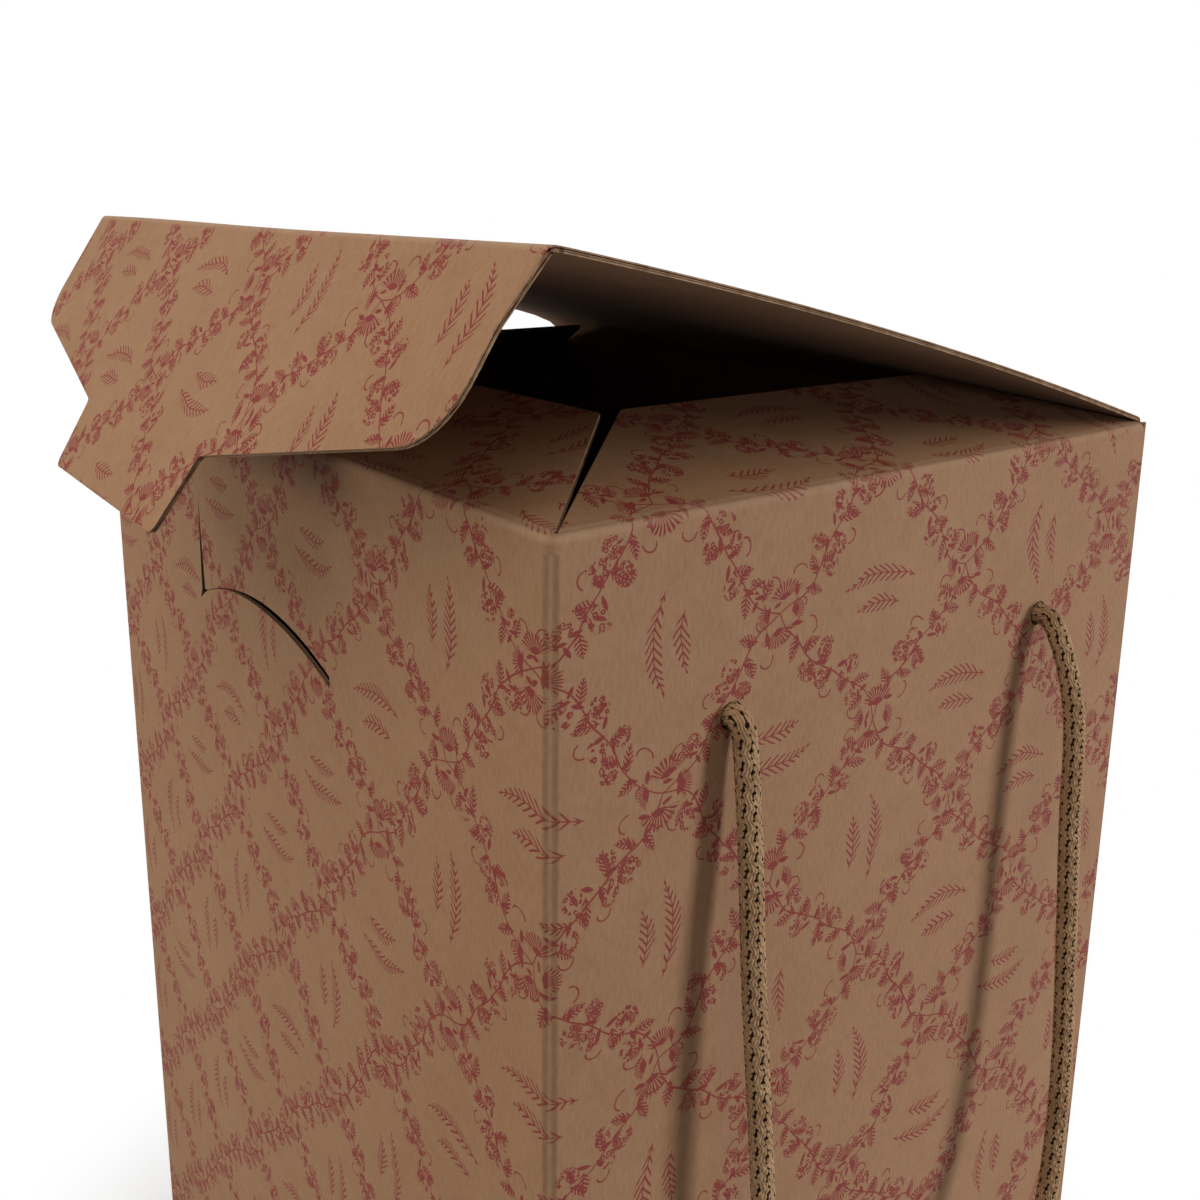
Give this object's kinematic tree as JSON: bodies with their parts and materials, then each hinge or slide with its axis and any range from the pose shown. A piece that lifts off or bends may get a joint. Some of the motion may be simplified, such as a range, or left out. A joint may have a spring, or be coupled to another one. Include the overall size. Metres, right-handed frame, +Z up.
{
  "type": "gift box",
  "caption": "Tall kraft carton folded from printed micro-flute board, with a hinged lid that tucks and locks in a slot, dust flaps, a snap-lock bottom and knotted cord handles.",
  "frame": {"origin": "on the floor at the middle of the carton's base", "axes": "+Z up; the front panel with the lock slot faces -Y; the handle sides face +X and -X"},
  "size_m": [0.2984, 0.2246, 0.3972],
  "materials": {
    "kraft_board": "matte brown kraft liner printed outside with a one-colour dark red trellis of sprigs",
    "kraft_cord": "matte knitted kraft-brown cord"
  },
  "bodies": {
    "carton": {"front_panel": "kraft_board", "back_panel": "kraft_board", "left_side_panel": "kraft_board", "right_side_panel": "kraft_board", "glue_flap": "kraft_board", "bottom_front_flap": "kraft_board", "bottom_back_flap": "kraft_board", "bottom_left_flap": "kraft_board", "bottom_right_flap": "kraft_board", "left_cord_ends": "kraft_cord", "right_cord_ends": "kraft_cord"},
    "lid": {"lid_panel": "kraft_board"},
    "tuck_flap": {"tuck_flap": "kraft_board"},
    "front_dust_flap": {"front_dust_flap": "kraft_board"},
    "left_dust_flap": {"left_dust_flap": "kraft_board"},
    "right_dust_flap": {"right_dust_flap": "kraft_board"},
    "left_handle": {"left_handle_cord": "kraft_cord"},
    "right_handle": {"right_handle_cord": "kraft_cord"}
  },
  "joints": [
    {"name": "lid_hinge", "type": "hinge", "parent": "carton", "child": "lid", "pos_m": [0, 0.09345, 0.35085], "axis": [-1, 0, 0], "range_deg": [-13.9, 106.1]},
    {"name": "tuck_crease", "type": "hinge", "parent": "lid", "child": "tuck_flap", "pos_m": [0, -0.09147, 0.39661], "axis": [1, 0, 0], "range_deg": [-67.5, 18.7]},
    {"name": "front_dust_crease", "type": "hinge", "parent": "carton", "child": "front_dust_flap", "pos_m": [0, -0.09345, 0.34945], "axis": [1, 0, 0], "range_deg": [-13.5, 103.1]},
    {"name": "left_dust_crease", "type": "hinge", "parent": "carton", "child": "left_dust_flap", "pos_m": [-0.12445, 0, 0.34945], "axis": [0, -1, 0], "range_deg": [-13.5, 103.1]},
    {"name": "right_dust_crease", "type": "hinge", "parent": "carton", "child": "right_dust_flap", "pos_m": [0.12445, 0, 0.34945], "axis": [0, 1, 0], "range_deg": [-13.5, 103.1]},
    {"name": "left_handle_swing", "type": "hinge", "parent": "carton", "child": "left_handle", "pos_m": [-0.1281, 0, 0.308], "axis": [0, 1, 0], "range_deg": [0, 140]},
    {"name": "right_handle_swing", "type": "hinge", "parent": "carton", "child": "right_handle", "pos_m": [0.1281, 0, 0.308], "axis": [0, -1, 0], "range_deg": [0, 140]}
  ],
  "couplings": [
    {"joint": "front_dust_crease", "follows": "lid_hinge", "ratio": 0.97122},
    {"joint": "left_dust_crease", "follows": "lid_hinge", "ratio": 0.97122},
    {"joint": "right_dust_crease", "follows": "lid_hinge", "ratio": 0.97122}
  ]
}
